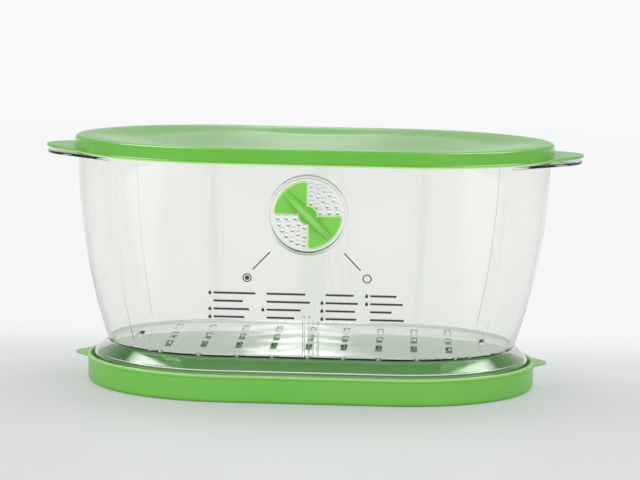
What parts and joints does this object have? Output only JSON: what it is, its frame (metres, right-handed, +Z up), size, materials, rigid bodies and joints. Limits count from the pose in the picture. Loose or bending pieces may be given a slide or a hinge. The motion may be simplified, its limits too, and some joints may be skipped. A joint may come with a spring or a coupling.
{
  "type": "produce keeper",
  "caption": "Clear waisted storage bin with round ends, a lift-off lid with end tabs, a turning air vent on the front and a shallow water tray below.",
  "frame": {"origin": "middle of the tray's flat underside, on the surface that the keeper stands on", "axes": "+X along the keeper to the right as the vent is looked at, +Y to the back, +Z up; the vent faces -Y"},
  "size_m": [0.358, 0.2114, 0.1643],
  "materials": {
    "green_tray": "smooth satin",
    "clear_plastic": "polished and clear",
    "green_dial": "smooth satin",
    "green_lid": "smooth satin"
  },
  "bodies": {
    "base": {"water_tray": "green_tray", "bin": "clear_plastic"},
    "dial": {"vent_dial": "green_dial"},
    "cover": {"lid": "green_lid"}
  },
  "joints": [
    {"name": "vent_turn", "type": "hinge", "parent": "base", "child": "dial", "pos_m": [0, -0.10109, 0.1227], "axis": [0, 0.9964, 0.0849], "range_deg": [0, 90]},
    {"name": "lid_lift", "type": "slide", "parent": "base", "child": "cover", "axis": [0, 0, 1], "range_m": [0, 0.08]}
  ]
}
